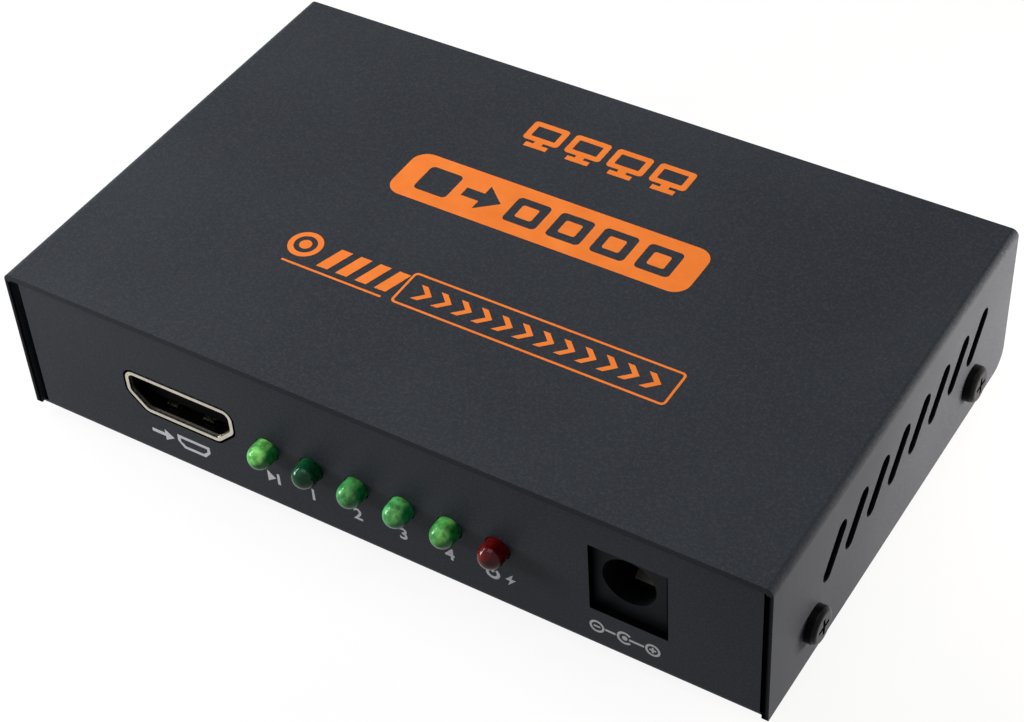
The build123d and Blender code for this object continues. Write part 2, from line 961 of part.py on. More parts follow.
def inductor_spot():
    """In front of the memory chip."""
    return Pos(memory_x, inductor_y, board_top)


def end_leads(length, width, reach, height):
    """Leads that rise against both ends of a moulded part."""
    leads = []
    for side in (-1, 1):
        edge = side * length / 2
        far = edge + side * reach
        leads.append(block(sorted((edge, far)), across(0, width), (0, height)))
    return leads


def row_of(solid, count, pitch, middle, y):
    """Copies of a small part along X on the board."""
    first = middle - pitch * (count - 1) / 2
    return [Pos(first + n * pitch, y, board_top) * solid for n in range(count)]


def brick(length, width, height):
    """Small leadless part on the board."""
    return block(across(0, length), across(0, width), (0, height))


def surge_arrays():
    """Protection arrays just inside the tails of each socket."""
    array = brick(array_length, array_width, array_height)
    inward = row_gap + array_width / 2
    arrays = row_of(
        array, arrays_per_socket, array_pitch, input_x, front_face + socket_tail + inward
    )
    for x in output_places():
        arrays += row_of(array, arrays_per_socket, array_pitch, x, tail_row - inward)
    return group(arrays)


def chip_resistors():
    """A row of resistors inside the arrays of each output, one behind each lamp."""
    resistor = brick(small_length, small_width, small_height)
    y = tail_row - row_gap - array_width - row_gap - small_width / 2
    solids = []
    for x in output_places():
        solids += row_of(resistor, resistors_per_output, small_pitch, x, y)
    lamp_row = lead_row + lead_width + row_gap + small_width / 2
    solids += [Pos(x, lamp_row, board_top) * resistor for x in lamp_places()]
    return group(solids)


def chip_capacitors():
    """Rows of capacitors before and behind the splitter chip, one per regulator."""
    capacitor = brick(small_length, small_width, small_height)
    y = chip_half + row_gap + small_width / 2
    solids = row_of(capacitor, capacitors_per_side, small_pitch, 0, -y)
    solids += row_of(capacitor, capacitors_per_side, small_pitch, 0, y)
    in_front = Pos(0, -regulator_step / 2, 0)
    solids += [in_front * spot * capacitor for spot in regulator_spots()]
    return group(solids)


# All the pieces

save("top_cover", top_cover())
save("bottom_tray", bottom_tray())
save("cover_screws", cover_screws())
save("rubber_feet", rubber_feet())
save("board_standoffs", board_standoffs())
save("board_screws", board_screws())
save("main_board", main_board())

shell = socket_shell()
contacts = socket_contacts()
body = socket_body(contacts)
socket_names = ["input"] + [f"output_{n + 1}" for n in range(output_count)]
for name, spot in zip(socket_names, socket_spots()):
    save(f"{name}_socket_shell", spot * shell)
    save(f"{name}_socket_body", spot * body)
    save(f"{name}_socket_contacts", group(spot * strip for strip in contacts))

save("power_jack_housing", jack_spot() * jack_housing())
save("power_jack_pin", jack_spot() * jack_pin())
save("power_jack_spring", jack_spot() * jack_spring())
save("power_jack_switch_blade", jack_spot() * jack_blade())

lamp_names = socket_names + ["power"]
lens = lamp_lens()
for name, spot in zip(lamp_names, lamp_spots()):
    save(f"{name}_lamp_lens", spot * lens)
save("lamp_leads", group(spot * lead for spot in lamp_spots() for lead in lamp_leads()))
save("lamp_dies", group(spot * lamp_die() for spot in lamp_spots()))

on_board = Pos(0, 0, board_top)
all_sides = (0, 90, 180, 270)
splitter_legs = leg_rows(
    chip_size / 2, chip_leg_count, chip_leg_pitch, chip_leg_width, chip_height, all_sides
)
save("splitter_chip", on_board * chip_body(chip_size, chip_size, chip_height))
save("splitter_chip_legs", group(on_board * leg for leg in splitter_legs))
save("thermal_pad", on_board * thermal_pad())
save("heat_sink", on_board * heat_sink())

small_chips = (
    ("controller_chip", controller_x, controller_length, controller_leg_count),
    ("memory_chip", memory_x, memory_length, memory_leg_count),
)
for name, x, length, count in small_chips:
    spot = Pos(x, 0, board_top)
    legs = leg_rows(
        small_chip_width / 2,
        count,
        small_leg_pitch,
        small_leg_width,
        small_chip_height,
        (0, 180),
    )
    save(name, spot * chip_body(small_chip_width, length, small_chip_height))
    save(f"{name}_legs", group(spot * leg for leg in legs))

regulator = brick(regulator_width, regulator_length, regulator_height)
save("regulators", group(spot * regulator for spot in regulator_spots()))
regulator_sets = [spot * leg for spot in regulator_spots() for leg in regulator_leg_set()]
save("regulator_legs", group(regulator_sets))

crystal_spot = Pos(crystal_x, 0, board_top)
save("crystal_can", crystal_spot * crystal_can())
save("crystal_leads", group(crystal_spot * lead for lead in crystal_leads()))

save("capacitor_cans", group(spot * capacitor_can() for spot in can_spots()))
save("capacitor_bases", group(spot * capacitor_base() for spot in can_spots()))
can_leads = [spot * lead for spot in can_spots() for lead in capacitor_leads()]
save("capacitor_leads", group(can_leads))

save("power_inductor", inductor_spot() * power_inductor())
save("inductor_terminals", group(inductor_spot() * plate for plate in inductor_terminals()))

diode_spot = Pos(diode_x, diode_y, board_top)
diode_leads = end_leads(diode_length, diode_lead_width, diode_lead_reach, diode_height / 2)
save("input_diode", diode_spot * brick(diode_length, diode_width, diode_height))
save("diode_leads", group(diode_spot * lead for lead in diode_leads))

fuse = brick(fuse_length, fuse_width, fuse_height)
save("resettable_fuse", Pos(diode_x, fuse_y, board_top) * fuse)

save("chip_resistors", chip_resistors())
save("chip_capacitors", chip_capacitors())
save("surge_arrays", surge_arrays())
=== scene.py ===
import math

import bpy
from mathutils import Matrix, Vector


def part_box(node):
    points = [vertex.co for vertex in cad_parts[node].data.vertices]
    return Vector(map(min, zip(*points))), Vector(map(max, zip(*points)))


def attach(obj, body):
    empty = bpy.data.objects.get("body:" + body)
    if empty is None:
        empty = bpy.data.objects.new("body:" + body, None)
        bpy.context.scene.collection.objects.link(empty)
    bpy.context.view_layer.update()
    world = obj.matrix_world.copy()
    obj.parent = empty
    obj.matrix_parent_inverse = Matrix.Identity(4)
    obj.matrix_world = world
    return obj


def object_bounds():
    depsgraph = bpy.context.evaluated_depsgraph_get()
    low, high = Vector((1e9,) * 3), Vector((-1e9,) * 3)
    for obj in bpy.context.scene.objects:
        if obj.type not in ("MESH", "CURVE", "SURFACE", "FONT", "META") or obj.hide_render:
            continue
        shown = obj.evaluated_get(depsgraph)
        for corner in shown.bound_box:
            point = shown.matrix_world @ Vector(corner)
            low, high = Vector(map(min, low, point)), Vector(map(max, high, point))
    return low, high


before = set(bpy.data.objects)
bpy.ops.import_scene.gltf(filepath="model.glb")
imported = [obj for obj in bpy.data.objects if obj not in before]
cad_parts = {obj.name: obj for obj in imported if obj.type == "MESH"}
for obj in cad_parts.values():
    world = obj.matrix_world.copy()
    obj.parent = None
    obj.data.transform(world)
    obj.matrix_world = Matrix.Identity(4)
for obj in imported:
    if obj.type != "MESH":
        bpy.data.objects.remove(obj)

cad_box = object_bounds()

# Rubber feet: four pads moulded of nitrile rubber and stuck under the tray. They
# are matt, with a faint bloom and the fine grain that the eroded mould leaves.
mm = 0.001
noise_span = {"From Min": 0.35, "From Max": 0.65}
flow_grains = 20
rough_spread = 0.06


def linear(colour):
    """Linear RGBA of an sRGB hex colour."""
    shares = [int(colour[place:place + 2], 16) / 255 for place in (1, 3, 5)]
    curve = [s / 12.92 if s <= 0.04045 else ((s + 0.055) / 1.055) ** 2.4 for s in shares]
    return (*curve, 1.0)


def add(material, kind, inputs=None, output=0, **settings):
    """Adds a shader node with its settings and links, and gives back one of its outputs.

    Inputs go by name or number, as values or as other nodes' outputs. On a mix of two
    colours they are 0 for the share and 6 and 7 for the colours, and its output is 2.
    """
    made = material.node_tree.nodes.new(kind)
    for name, value in settings.items():
        setattr(made, name, value)
    for name, value in (inputs or {}).items():
        if isinstance(value, bpy.types.NodeSocket):
            material.node_tree.links.new(value, made.inputs[name])
        else:
            made.inputs[name].default_value = value
    return made.outputs[output] if made.outputs else made


def empty_material(name):
    """Material with no nodes yet, and the place on the object that its patterns follow."""
    material = bpy.data.materials.new(name)
    material.use_nodes = True
    material.node_tree.nodes.clear()
    return material, add(material, "ShaderNodeTexCoord", output="Object")


def finished(material, shader):
    """Joins the last shader to the material's output."""
    add(material, "ShaderNodeOutputMaterial", {"Surface": shader})
    return material


def dress(material, *names):
    """Gives pieces of the frame their finish in place of the plain one."""
    for name in names:
        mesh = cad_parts[name].data
        mesh.materials.clear()
        mesh.materials.append(material)


def moulded(name, dark, light, grain, depth, roughness, shine=0.5):
    """Moulded polymer: one colour through, faint flow marks, and the grain of its mould."""
    material, place = empty_material(name)
    flow = add(material, "ShaderNodeTexNoise", {"Vector": place, "Scale": 1 / (flow_grains * grain)})
    drift = add(material, "ShaderNodeMapRange", {"Value": flow, **noise_span})
    fine = add(material, "ShaderNodeTexNoise", {"Vector": place, "Scale": 1 / grain, "Detail": 3.0})
    spread = {"Value": fine, "To Min": roughness - rough_spread, "To Max": roughness + rough_spread}
    both = {0: drift, 6: linear(dark), 7: linear(light)}
    settings = {
        "Base Color": add(material, "ShaderNodeMix", both, 2, data_type="RGBA"),
        "Roughness": add(material, "ShaderNodeMapRange", spread),
        "Specular IOR Level": shine,
        "Normal": add(material, "ShaderNodeBump", {"Height": fine, "Distance": depth}),
    }
    return finished(material, add(material, "ShaderNodeBsdfPrincipled", settings))


nitrile = moulded("nitrile_rubber", "#1B1B1C", "#242425", 0.15 * mm, 0.01 * mm, 0.72, 0.3)
dress(nitrile, "rubber_feet")

# Bottom tray: steel sheet folded to a U with the front and back panels, punched,
# then powder coated. Its sheared edges and the edges of its openings get painted shade, nearly black.
sheet = 0.8 * mm
back_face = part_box("bottom_tray")[1].y
grit_width = 0.24 * mm
peel_width = 1.6 * mm
cloud_width = 26 * mm
speck_share = 0.4
peel_share = 0.8
coat_relief = 0.018 * mm
coat_shine = 0.07
edge_slope = {"From Min": 0.3, "From Max": 0.5}
panel_depth = 1.02 * sheet


def powder_coat(name, edges):
    """Fine-texture polyester powder baked on steel: dark, faintly blue grey, satin, with
    pin-point grit and soft orange peel. The edge function gives the share of painted shade, nearly black
    and without sheen."""
    material, place = empty_material(name)
    grit = add(material, "ShaderNodeTexNoise", {"Vector": place, "Scale": 1 / grit_width, "Detail": 3.0})
    peel = add(material, "ShaderNodeTexNoise", {"Vector": place, "Scale": 1 / peel_width})
    cloud = add(material, "ShaderNodeTexNoise", {"Vector": place, "Scale": 1 / cloud_width})
    drift = add(material, "ShaderNodeMapRange", {"Value": cloud, **noise_span})
    both = {0: drift, 6: linear("#25282D"), 7: linear("#2B2E33")}
    tone = add(material, "ShaderNodeMix", both, 2, data_type="RGBA")
    speck = {"Value": grit, "From Min": 0.45, "From Max": 0.7, "To Max": speck_share}
    speck = add(material, "ShaderNodeMapRange", speck)
    tone = {0: speck, 6: tone, 7: linear("#45484E")}
    tone = add(material, "ShaderNodeMix", tone, 2, data_type="RGBA")

    facing = add(material, "ShaderNodeTexCoord", output="Normal")
    # Painted shade: the chosen edges are mixed to near black and lose their sheen.
    painted_edge_shade = edges(material, place, facing)
    tone = add(material, "ShaderNodeMix", {0: painted_edge_shade, 6: tone, 7: linear("#050506")}, 2, data_type="RGBA")

    height = {0: peel, 1: peel_share, 2: grit}
    height = add(material, "ShaderNodeMath", height, operation="MULTIPLY_ADD")
    shine = {"Value": painted_edge_shade, "To Min": coat_shine, "To Max": 0.0}
    settings = {
        "Base Color": tone,
        "Roughness": add(material, "ShaderNodeMapRange", {"Value": grit, "To Min": 0.4, "To Max": 0.62}),
        "Specular IOR Level": add(material, "ShaderNodeMapRange", shine),
        "Normal": add(material, "ShaderNodeBump", {"Height": height, "Distance": coat_relief}),
    }
    return finished(material, add(material, "ShaderNodeBsdfPrincipled", settings))


def size_along(material, vector, axis):
    """How far a vector reaches along an axis, either way."""
    part = add(material, "ShaderNodeSeparateXYZ", {0: vector}, axis)
    return add(material, "ShaderNodeMath", {0: part}, operation="ABSOLUTE")


def tray_edge_shade(material, place, facing):
    """Painted shade on the edges of the two panels and of the openings in them."""
    across = size_along(material, facing, "X")
    upward = add(material, "ShaderNodeSeparateXYZ", {0: facing}, "Z")
    steep = add(material, "ShaderNodeMath", {0: across, 1: upward}, operation="MAXIMUM")
    cut = add(material, "ShaderNodeMapRange", {"Value": steep, **edge_slope})
    depth = size_along(material, place, "Y")
    inner = back_face - panel_depth
    panel = add(material, "ShaderNodeMath", {0: depth, 1: inner}, operation="GREATER_THAN")
    return add(material, "ShaderNodeMath", {0: cut, 1: panel}, operation="MULTIPLY")


dress(powder_coat("powder_coated_tray", tray_edge_shade), "bottom_tray")

# Standoffs and board screws: turned steel with a clear zinc plate. The posts are
# pressed into the tray, and the screws hold the board down on them.
stain_grains = 10
line_spread = 0.08


def metal(name, dark, light, grain, roughness, stretch=(1.0, 1.0, 1.0), depth=0.001 * mm):
    """Bare or plated metal: its colour is what it reflects, and fine marks blur it one way."""
    material, place = empty_material(name)
    drawn = add(material, "ShaderNodeMapping", {"Vector": place, "Scale": stretch})
    marks = add(material, "ShaderNodeTexNoise", {"Vector": drawn, "Scale": 1 / grain, "Detail": 2.0})
    stain = add(material, "ShaderNodeTexNoise", {"Vector": place, "Scale": 1 / (stain_grains * grain)})
    drift = add(material, "ShaderNodeMapRange", {"Value": stain, **noise_span})
    both = {0: drift, 6: linear(dark), 7: linear(light)}
    spread = {"Value": marks, "To Min": roughness - line_spread, "To Max": roughness + line_spread}
    settings = {
        "Base Color": add(material, "ShaderNodeMix", both, 2, data_type="RGBA"),
        "Metallic": 1.0,
        "Roughness": add(material, "ShaderNodeMapRange", spread),
        "Normal": add(material, "ShaderNodeBump", {"Height": marks, "Distance": depth}),
    }
    return finished(material, add(material, "ShaderNodeBsdfPrincipled", settings))


# Clear zinc plate is pale and faintly blue, with turning marks round the axis.
turned = (1.0, 1.0, 6.0)
zinc = metal("zinc_plated_steel", "#B9BBBE", "#D5D6D6", 0.12 * mm, 0.32, turned)
dress(zinc, "board_standoffs", "board_screws")

# Circuit board: woven glass and epoxy, copper tracks, and a green solder mask
# over both. The mask is glossy and lies a little higher over each track.
track_pitch = 0.9 * mm
track_patch = 7.0 * mm
weave_pitch = 0.5 * mm


def solder_mask():
    """Green solder mask: lighter where copper runs under it, in patches of straight tracks."""
    material, place = empty_material("solder_mask_on_laminate")
    patch = {"Vector": place, "Scale": 1 / track_patch, "Randomness": 0.6}
    cells = add(material, "ShaderNodeTexVoronoi", patch, "Color", distance="CHEBYCHEV")
    pick = add(material, "ShaderNodeSeparateXYZ", {0: cells}, "X")
    turn = add(material, "ShaderNodeMath", {0: pick, 1: 0.5}, operation="GREATER_THAN")
    lines = {"Vector": place, "Scale": 0.5 / track_pitch}
    across = add(material, "ShaderNodeTexWave", lines, "Fac", bands_direction="X")
    deep = add(material, "ShaderNodeTexWave", lines, "Fac", bands_direction="Y")
    chosen = add(material, "ShaderNodeMix", {0: turn, 2: across, 3: deep})
    track = add(material, "ShaderNodeMapRange", {"Value": chosen, "From Min": 0.45, "From Max": 0.6})
    weave = add(material, "ShaderNodeTexNoise", {"Vector": place, "Scale": 1 / weave_pitch})
    both = {0: track, 6: linear("#0B4420"), 7: linear("#17672F")}
    tone = add(material, "ShaderNodeMix", both, 2, data_type="RGBA")
    thin = add(material, "ShaderNodeMapRange", {"Value": weave, "To Max": 0.4})
    tone = add(material, "ShaderNodeMix", {0: thin, 6: tone, 7: linear("#08301A")}, 2, data_type="RGBA")
    settings = {
        "Base Color": tone,
        "Roughness": add(material, "ShaderNodeMapRange", {"Value": weave, "To Min": 0.2, "To Max": 0.32}),
        "Normal": add(material, "ShaderNodeBump", {"Height": track, "Distance": 0.03 * mm}),
    }
    return finished(material, add(material, "ShaderNodeBsdfPrincipled", settings))


dress(solder_mask(), "main_board")

# Splitter chip and its cooling: an epoxy package on 128 legs, a grey silicone
# pad on its back, and a finned block of black anodised aluminium on the pad.
epoxy = moulded("moulded_chip_epoxy", "#17171A", "#202023", 0.12 * mm, 0.006 * mm, 0.55)
dress(epoxy, "splitter_chip", "controller_chip", "memory_chip", "regulators")

# Tin plate on copper legs is soft and white, dull where the solder has wetted it.
tin = metal("tinned_copper", "#C4C5C6", "#DADBDA", 0.1 * mm, 0.36)
dress(tin, "splitter_chip_legs", "controller_chip_legs", "memory_chip_legs", "regulator_legs")

# Filled silicone is matt and slightly greasy, with grains of filler that show.
silicone = moulded("filled_silicone", "#5F6670", "#7C838C", 0.3 * mm, 0.02 * mm, 0.62)
dress(silicone, "thermal_pad")

# The extruded block keeps fine die lines along its fins under the black oxide.
along_fins = (1.0, 0.08, 1.0)
anodised = metal("black_anodised_aluminium", "#1C1C1F", "#28282C", 0.1 * mm, 0.42, along_fins)
dress(anodised, "heat_sink")

# Crystal: a can drawn from nickel silver sheet, on two leads that go through the
# board. The drawing leaves upright marks, which blur its reflection.
upright_marks = (1.0, 1.0, 0.15)
can_steel = metal("drawn_nickel_silver", "#B2B3B2", "#C9C9C6", 0.14 * mm, 0.26, upright_marks)
dress(can_steel, "crystal_can")
dress(tin, "crystal_leads")

# Electrolytic capacitors: bare aluminium cans on black moulded bases, with tinned
# leads. A printed half-moon on top marks the side of the negative lead.
mark_share = 0.3
mark_depth = 0.1 * mm


def marked_can():
    """Drawn aluminium, bright and faintly lined, with black ink over part of its top."""
    material, place = empty_material("drawn_aluminium_can")
    low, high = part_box("capacitor_cans")
    x = add(material, "ShaderNodeSeparateXYZ", {0: place}, "X")
    z = add(material, "ShaderNodeSeparateXYZ", {0: place}, "Z")
    edge = high.x - mark_share * (high.x - low.x)
    beyond = add(material, "ShaderNodeMath", {0: x, 1: edge}, operation="GREATER_THAN")
    top = add(material, "ShaderNodeMath", {0: z, 1: high.z - mark_depth}, operation="GREATER_THAN")
    mark = add(material, "ShaderNodeMath", {0: beyond, 1: top}, operation="MULTIPLY")
    marks = add(material, "ShaderNodeTexNoise", {"Vector": place, "Scale": 1 / (0.12 * mm)})
    both = {0: mark, 6: linear("#D6D8DA"), 7: linear("#141416")}
    settings = {
        "Base Color": add(material, "ShaderNodeMix", both, 2, data_type="RGBA"),
        "Metallic": add(material, "ShaderNodeMapRange", {"Value": mark, "To Min": 1.0, "To Max": 0.0}),
        "Roughness": add(material, "ShaderNodeMapRange", {"Value": marks, "To Min": 0.2, "To Max": 0.36}),
        "Normal": add(material, "ShaderNodeBump", {"Height": marks, "Distance": 0.002 * mm}),
    }
    return finished(material, add(material, "ShaderNodeBsdfPrincipled", settings))


dress(marked_can(), "capacitor_cans")
nylon = moulded("moulded_nylon", "#161617", "#1E1E20", 0.14 * mm, 0.008 * mm, 0.5)
dress(nylon, "capacitor_bases")
dress(tin, "capacitor_leads")

# Power inductor: a block of sintered ferrite on two tinned terminals. The fired
# ceramic is dark grey, dry and slightly porous.
ferrite = moulded("sintered_ferrite", "#2B2B2C", "#3D3C3C", 0.18 * mm, 0.02 * mm, 0.8)
dress(ferrite, "power_inductor")
dress(tin, "inductor_terminals")

# Input diode and resettable fuse: a black moulded body with a pale band at its
# cathode, and a thin green laminate under a glossy varnish.
band_share = 0.2


def banded_epoxy():
    """Moulded epoxy with a band of pale ink across one end."""
    material, place = empty_material("banded_epoxy")
    low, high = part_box("input_diode")
    x = add(material, "ShaderNodeSeparateXYZ", {0: place}, "X")
    edge = low.x + band_share * (high.x - low.x)
    band = add(material, "ShaderNodeMath", {0: x, 1: edge}, operation="LESS_THAN")
    grain = add(material, "ShaderNodeTexNoise", {"Vector": place, "Scale": 1 / (0.12 * mm)})
    both = {0: band, 6: linear("#18181A"), 7: linear("#A9AAA8")}
    settings = {
        "Base Color": add(material, "ShaderNodeMix", both, 2, data_type="RGBA"),
        "Roughness": add(material, "ShaderNodeMapRange", {"Value": grain, "To Min": 0.45, "To Max": 0.6}),
        "Normal": add(material, "ShaderNodeBump", {"Height": grain, "Distance": 0.006 * mm}),
    }
    return finished(material, add(material, "ShaderNodeBsdfPrincipled", settings))


dress(banded_epoxy(), "input_diode")
dress(tin, "diode_leads")
varnish = moulded("green_varnish", "#14522B", "#1D6A3A", 0.3 * mm, 0.01 * mm, 0.3)
dress(varnish, "resettable_fuse")

# Chip resistors, chip capacitors and surge arrays: fired ceramic blocks with
# plated ends, soldered flat on the board.
end_slope = 0.8


def capped_ceramic(name, body, roughness):
    """Ceramic block whose two end faces are tinned."""
    material, place = empty_material(name)
    facing = add(material, "ShaderNodeTexCoord", output="Normal")
    along = add(material, "ShaderNodeSeparateXYZ", {0: facing}, "X")
    along = add(material, "ShaderNodeMath", {0: along}, operation="ABSOLUTE")
    end = add(material, "ShaderNodeMath", {0: along, 1: end_slope}, operation="GREATER_THAN")
    grain = add(material, "ShaderNodeTexNoise", {"Vector": place, "Scale": 1 / (0.1 * mm)})
    spread = {"Value": grain, "To Min": roughness - rough_spread, "To Max": roughness + rough_spread}
    both = {0: end, 6: linear(body), 7: linear("#C9CACA")}
    settings = {
        "Base Color": add(material, "ShaderNodeMix", both, 2, data_type="RGBA"),
        "Metallic": end,
        "Roughness": add(material, "ShaderNodeMapRange", spread),
        "Normal": add(material, "ShaderNodeBump", {"Height": grain, "Distance": 0.004 * mm}),
    }
    return finished(material, add(material, "ShaderNodeBsdfPrincipled", settings))


dress(capped_ceramic("glazed_resistor_ceramic", "#131316", 0.3), "chip_resistors")
dress(capped_ceramic("tan_capacitor_ceramic", "#A5835C", 0.4), "chip_capacitors")
dress(capped_ceramic("black_varistor_ceramic", "#19191B", 0.45), "surge_arrays")

# Video sockets: a folded steel shell with a pale gold flash, a black plastic
# body with the tongue, and nineteen gold-plated contacts along the tongue.
sockets = ["input"] + [f"output_{digit}" for digit in "1234"]
bright_rim = 0.25 * mm
dark_throat = 0.6 * mm


def flashed_shell(name, node):
    """Thin gold flash over steel: warm and pale outside and on the rim. The walls of the
    mouth get painted shade inwards, a matt dark brown, where no light falls."""
    material, place = empty_material(name)
    low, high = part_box(node)
    mouth = max(-low.y, high.y)
    body_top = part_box(node.replace("shell", "body"))[1].z
    middle = ((low.x + high.x) / 2, 0.0, (body_top + low.z) / 2)
    facing = add(material, "ShaderNodeTexCoord", output="Normal")
    spoke = add(material, "ShaderNodeVectorMath", {0: place, 1: middle}, operation="SUBTRACT")
    spoke = add(material, "ShaderNodeVectorMath", {0: spoke, 1: (1.0, 0.0, 1.0)}, operation="MULTIPLY")
    outward = {0: spoke, 1: facing}
    outward = add(material, "ShaderNodeVectorMath", outward, "Value", operation="DOT_PRODUCT")
    inner = add(material, "ShaderNodeMath", {0: outward, 1: 0.0}, operation="LESS_THAN")
    depth = add(material, "ShaderNodeSeparateXYZ", {0: place}, "Y")
    depth = add(material, "ShaderNodeMath", {0: depth}, operation="ABSOLUTE")
    span = {"Value": depth, "From Min": mouth - bright_rim, "From Max": mouth - dark_throat}
    deep = add(material, "ShaderNodeMapRange", span)
    # Painted shade: inward faces deep in the mouth turn a matt near-black brown.
    painted_throat_shade = add(material, "ShaderNodeMath", {0: deep, 1: inner}, operation="MULTIPLY")
    marks = add(material, "ShaderNodeTexNoise", {"Vector": place, "Scale": 1 / (0.4 * mm)})
    both = {0: marks, 6: linear("#A39D8F"), 7: linear("#CDC8BA")}
    bright = add(material, "ShaderNodeMix", both, 2, data_type="RGBA")
    both = {0: painted_throat_shade, 6: bright, 7: linear("#080605")}
    settings = {
        "Base Color": add(material, "ShaderNodeMix", both, 2, data_type="RGBA"),
        "Metallic": add(material, "ShaderNodeMapRange", {"Value": painted_throat_shade, "To Min": 1.0, "To Max": 0.0}),
        "Specular IOR Level": 0.05,
        "Roughness": add(material, "ShaderNodeMapRange", {"Value": marks, "To Min": 0.2, "To Max": 0.36}),
        "Normal": add(material, "ShaderNodeBump", {"Height": marks, "Distance": 0.001 * mm}),
    }
    return finished(material, add(material, "ShaderNodeBsdfPrincipled", settings))


for name in sockets:
    node = f"{name}_socket_shell"
    dress(flashed_shell(f"gold_flashed_steel_{name}", node), node)

# Glass-filled plastic is satin, with fibres that show as faint flow marks. It is made near black with
# almost no sheen, partly as painted shade for the inside of the sockets.
glass_filled = moulded("glass_filled_plastic", "#050506", "#080809", 0.12 * mm, 0.006 * mm, 0.5, 0.01)
dress(glass_filled, *[f"{name}_socket_body" for name in sockets])

# Hard gold on the contacts is deep yellow and almost mirror-like.
gold = metal("hard_gold", "#D8A94C", "#E8BE66", 0.08 * mm, 0.18)
dress(gold, *[f"{name}_socket_contacts" for name in sockets])

# Power inlet: a black moulded housing with the bore, and in it the centre pin,
# the sleeve's leaf and the switch blade, all nickel-plated brass.
polyamide = moulded("moulded_polyamide", "#0B0C0F", "#101215", 0.16 * mm, 0.01 * mm, 0.5, 0.06)
dress(polyamide, "power_jack_housing")

# Nickel plate is warm white. Here it is darkened to grey as painted shade, deep in the bore, with fine
# lines from stamping.
nickel = metal("nickel_plate_in_painted_shade", "#4A4843", "#605D56", 0.1 * mm, 0.34)
dress(nickel, "power_jack_pin", "power_jack_spring", "power_jack_switch_blade")

# Indicator lamps: tinted epoxy cast round two tinned steel leads and the light-
# emitting die. They are pushed through the front panel from behind.
lens_tints = {
    "input": ("#14662C", "#2C9248", 0.55),
    "output_1": ("#07361D", "#0E5030", 0.0),
    "output_2": ("#0F5A30", "#1F8048", 0.2),
    "output_3": ("#14683A", "#2C9558", 0.3),
    "output_4": ("#156530", "#2D8F44", 0.3),
    "power": ("#4A0608", "#6A0D10", 0.0),
}
haze_width = 0.8 * mm
painted_highlight_direction = (-0.1, -0.6, 0.79)
spark_low = 0.6
spark_high = 1.4


def cast_epoxy(name, dark, light, glow):
    """Tinted, slightly milky epoxy: a glossy dome with cloudy depth. The lamps that are on
    glow a yellower green in flecks, strongest on the dome's upper front, where the glow is a painted
    highlight."""
    material, place = empty_material(name)
    haze = add(material, "ShaderNodeTexNoise", {"Vector": place, "Scale": 1 / haze_width})
    drift = add(material, "ShaderNodeMapRange", {"Value": haze, **noise_span})
    both = {0: drift, 6: linear(dark), 7: linear(light)}
    facing = add(material, "ShaderNodeTexCoord", output="Normal")
    # Painted highlight: the glow grows where the dome faces up and forward.
    toward = {0: facing, 1: painted_highlight_direction}
    toward = add(material, "ShaderNodeVectorMath", toward, "Value", operation="DOT_PRODUCT")
    spark = {"Value": haze, "From Min": 0.4, "From Max": 0.6}
    spark.update({"To Min": spark_low * glow, "To Max": spark_high * glow})
    spark = add(material, "ShaderNodeMapRange", spark)
    glow_and_highlight = {"Value": toward, "From Min": 0.5, "From Max": 1.0, "To Max": spark}
    settings = {
        "Base Color": add(material, "ShaderNodeMix", both, 2, data_type="RGBA"),
        "Roughness": add(material, "ShaderNodeMapRange", {"Value": haze, "To Min": 0.08, "To Max": 0.16}),
        "IOR": 1.53,
        "Specular IOR Level": 0.12,
        "Transmission Weight": 0.05,
        "Emission Color": linear("#8FD86A"),
        "Emission Strength": add(material, "ShaderNodeMapRange", glow_and_highlight),
    }
    return finished(material, add(material, "ShaderNodeBsdfPrincipled", settings))


for name, (dark, light, glow) in lens_tints.items():
    dress(cast_epoxy(f"cast_epoxy_{name}", dark, light, glow), f"{name}_lamp_lens")

dress(tin, "lamp_leads")
die = moulded("sawn_crystal_die", "#8F8A6E", "#A9A283", 0.05 * mm, 0.002 * mm, 0.35)
dress(die, "lamp_dies")

# Top cover: the top and both side walls folded from one steel sheet, slid over
# the tray, and coated like it. Its sheared edges and the walls of its punched vents get painted shade.
cover_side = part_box("top_cover")[1].x
cover_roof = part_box("top_cover")[1].z
fold_depth = 1.25 * sheet
fade_depth = 0.6 * sheet
outer_share = 0.35
roof_share = 0.3


def cover_edge_shade(material, place, facing):
    """Painted shade on the edges of the side walls, darker inwards, and a little on those of the top
    sheet.
    """
    across = size_along(material, facing, "X")
    cut = add(material, "ShaderNodeMath", {0: across, 1: 0.5}, operation="LESS_THAN")
    height = add(material, "ShaderNodeSeparateXYZ", {0: place}, "Z")
    fold = cover_roof - fold_depth
    low = add(material, "ShaderNodeMath", {0: height, 1: fold}, operation="LESS_THAN")
    wall = add(material, "ShaderNodeMath", {0: cut, 1: low}, operation="MULTIPLY")
    reach = size_along(material, place, "X")
    inner = cover_side - fade_depth
    fade = {"Value": reach, "From Min": inner, "From Max": cover_side}
    fade.update({"To Min": 1.0, "To Max": outer_share})
    fade = add(material, "ShaderNodeMapRange", fade)
    wall = add(material, "ShaderNodeMath", {0: wall, 1: fade}, operation="MULTIPLY")
    forward = size_along(material, facing, "Y")
    top = {"Value": forward, **edge_slope, "To Max": roof_share}
    top = add(material, "ShaderNodeMapRange", top)
    return add(material, "ShaderNodeMath", {0: wall, 1: top}, operation="MAXIMUM")


dress(powder_coat("powder_coated_cover", cover_edge_shade), "top_cover")

